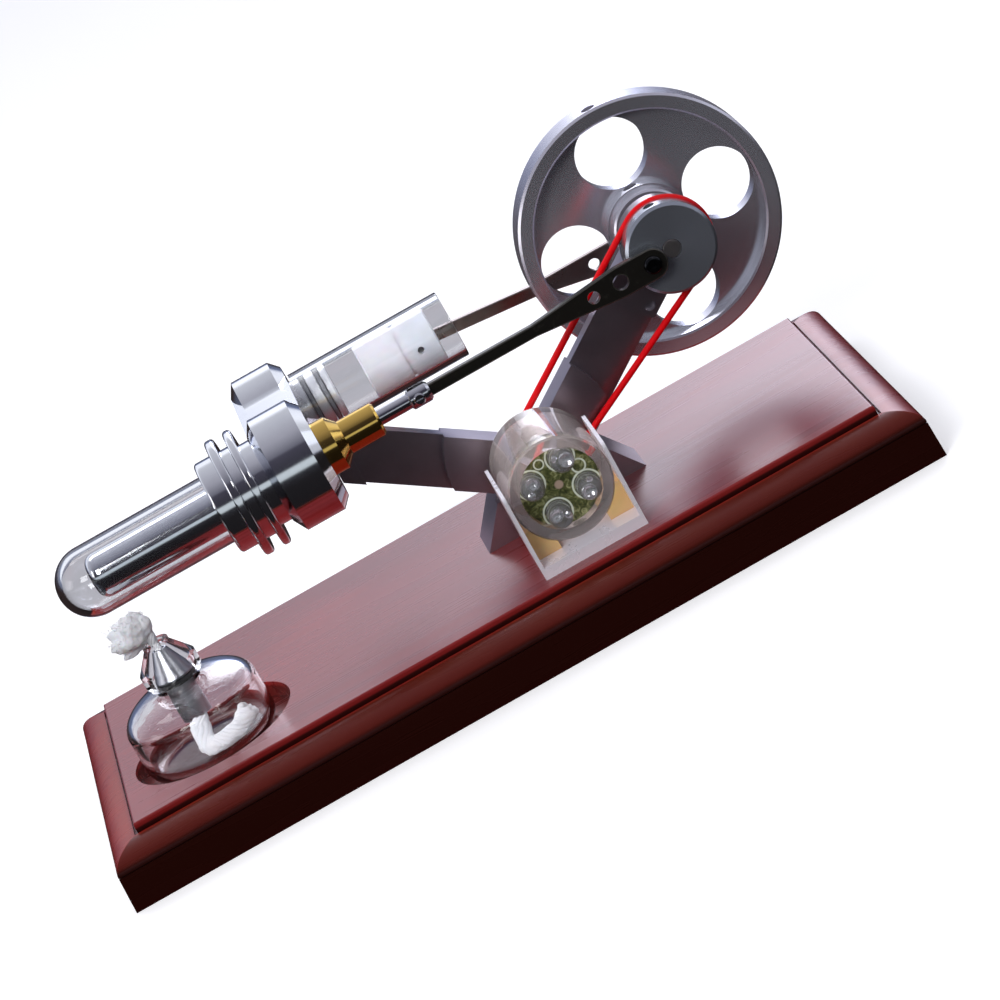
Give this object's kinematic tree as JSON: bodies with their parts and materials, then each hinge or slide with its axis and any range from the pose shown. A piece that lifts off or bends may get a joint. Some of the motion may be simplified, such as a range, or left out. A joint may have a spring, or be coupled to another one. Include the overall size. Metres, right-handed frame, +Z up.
{
  "type": "stirling engine model",
  "caption": "Tabletop Stirling engine on a moulded wooden base: glass cylinders, finned head, flywheel, spirit burner and a belt-driven generator with lamps.",
  "frame": {"origin": "middle of the wooden base's underside", "axes": "+X from the hot end to the flywheel, +Y to the back where the power cylinder is, +Z up"},
  "size_m": [0.1867, 0.091, 0.0814],
  "materials": {
    "mahogany": "glossy lacquered",
    "dark_aluminium": "satin anodised",
    "polished_aluminium": "polished",
    "bright_aluminium": "polished",
    "screw_steel": "zinc plated",
    "bearing_steel": "polished",
    "turned_steel": "turned",
    "displacer_steel": "polished",
    "black_steel": "blackened satin",
    "brass": "polished",
    "o_ring_rubber": "matte",
    "red_rubber": "satin",
    "clear_glass": "clear",
    "clear_plastic": "clear plastic",
    "lamp_plastic": "clear epoxy",
    "black_plastic": "moulded",
    "amber_plastic": "moulded",
    "white_ptfe": "satin",
    "board_green": "solder mask",
    "magnet_ferrite": "sintered",
    "copper_wire": "enamelled copper",
    "solder": "tinned",
    "cotton": "twisted cotton"
  },
  "bodies": {
    "stand": {"wood_base": "mahogany", "bracket": "dark_aluminium", "bracket_screws": "screw_steel", "head_screws": "screw_steel", "cradle_screws": "screw_steel", "cylinder_head": "polished_aluminium", "finned_collar": "polished_aluminium", "collar_o_rings": "o_ring_rubber", "hot_glass_tube": "clear_glass", "displacer_gland": "brass", "cylinder_spigot": "polished_aluminium", "spigot_o_rings": "o_ring_rubber", "power_glass_tube": "clear_glass", "bearing_outer_races": "bearing_steel", "bearing_balls": "bearing_steel", "drive_belt": "red_rubber", "clear_housing": "clear_plastic", "generator_can": "bearing_steel", "generator_end_cap": "black_plastic", "generator_magnets": "magnet_ferrite", "generator_brushes": "brass", "lamp_board": "board_green", "lamps": "lamp_plastic", "lamp_leads": "solder", "generator_wires": "black_plastic", "generator_cradle": "bright_aluminium", "cradle_wedges": "amber_plastic"},
    "flywheel_shaft": {"main_shaft": "bearing_steel", "flywheel": "turned_steel", "flywheel_set_screw": "black_steel", "crank_pulley": "black_steel", "pulley_set_screw": "black_steel", "shaft_spacers": "screw_steel", "bearing_inner_races": "bearing_steel"},
    "generator_rotor": {"generator_shaft": "bearing_steel", "generator_armature": "magnet_ferrite", "armature_windings": "copper_wire", "commutator": "copper_wire", "small_pulley": "bright_aluminium"},
    "displacer": {"displacer_can": "displacer_steel", "displacer_plug": "bright_aluminium", "displacer_rod": "bearing_steel", "displacer_fork": "bearing_steel", "fork_pin": "bearing_steel"},
    "displacer_link": {"displacer_link": "black_steel", "displacer_crank_pin": "black_steel", "displacer_pin_spacer": "screw_steel"},
    "power_piston": {"power_piston": "white_ptfe", "wrist_pin": "bearing_steel"},
    "power_link": {"power_link": "black_steel", "power_crank_pin": "black_steel", "power_pin_spacer": "screw_steel"},
    "burner": {"burner_bottle": "clear_glass", "burner_seal": "o_ring_rubber", "wick_holder": "bearing_steel", "burner_hood": "clear_glass", "wick": "cotton"}
  },
  "joints": [
    {"name": "flywheel_spin", "type": "hinge", "parent": "stand", "child": "flywheel_shaft", "pos_m": [0.0664, 0, 0.0534], "axis": [0, 1, 0], "continuous": true},
    {"name": "generator_spin", "type": "hinge", "parent": "stand", "child": "generator_rotor", "pos_m": [0.0226, 0, 0.0274], "axis": [0, 1, 0], "continuous": true},
    {"name": "displacer_slide", "type": "slide", "parent": "stand", "child": "displacer", "axis": [1, 0, 0], "range_m": [0, 0.0104]},
    {"name": "displacer_link_swing", "type": "hinge", "parent": "displacer", "child": "displacer_link", "pos_m": [0.0067, -0.0083, 0.0534], "axis": [0, 1, 0], "range_deg": [-5.48, 5.48]},
    {"name": "piston_slide", "type": "slide", "parent": "stand", "child": "power_piston", "axis": [1, 0, 0], "range_m": [-0.0052, 0.0052]},
    {"name": "power_link_swing", "type": "hinge", "parent": "power_piston", "child": "power_link", "pos_m": [0.01215, 0.0256, 0.0534], "axis": [0, 1, 0], "range_deg": [-10.95, 0]},
    {"name": "burner_shift", "type": "slide", "parent": "stand", "child": "burner", "axis": [0, 1, 0], "range_m": [-0.003, 0.003]}
  ],
  "couplings": [
    {"joint": "generator_spin", "follows": "flywheel_spin", "ratio": 1.4615}
  ]
}
